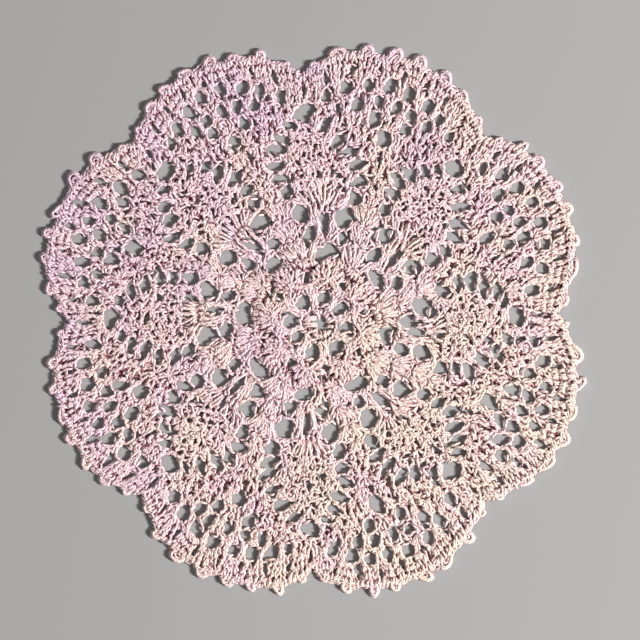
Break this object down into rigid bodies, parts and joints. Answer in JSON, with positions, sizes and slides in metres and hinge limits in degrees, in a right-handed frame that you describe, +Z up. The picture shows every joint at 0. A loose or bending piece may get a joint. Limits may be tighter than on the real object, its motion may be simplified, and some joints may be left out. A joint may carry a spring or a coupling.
{
  "type": "crochet doily",
  "caption": "Round openwork crochet doily lying flat, with a raised flower in the middle, pineapple panels, open mesh lobes and a scalloped picot edge",
  "frame": {"origin": "middle of the doily's bounding box, on its underside, where it lies on the table", "axes": "+Z up through the sheet, +X to the right and +Y away from the viewer when it is seen from above as it was laid"},
  "size_m": [0.202, 0.2055, 0.0034],
  "materials": {
    "cotton_thread": "matte twisted cotton thread, off-white with uneven warm and cool tints"
  },
  "bodies": {
    "root": {"doily": "cotton_thread"}
  },
  "joints": []
}
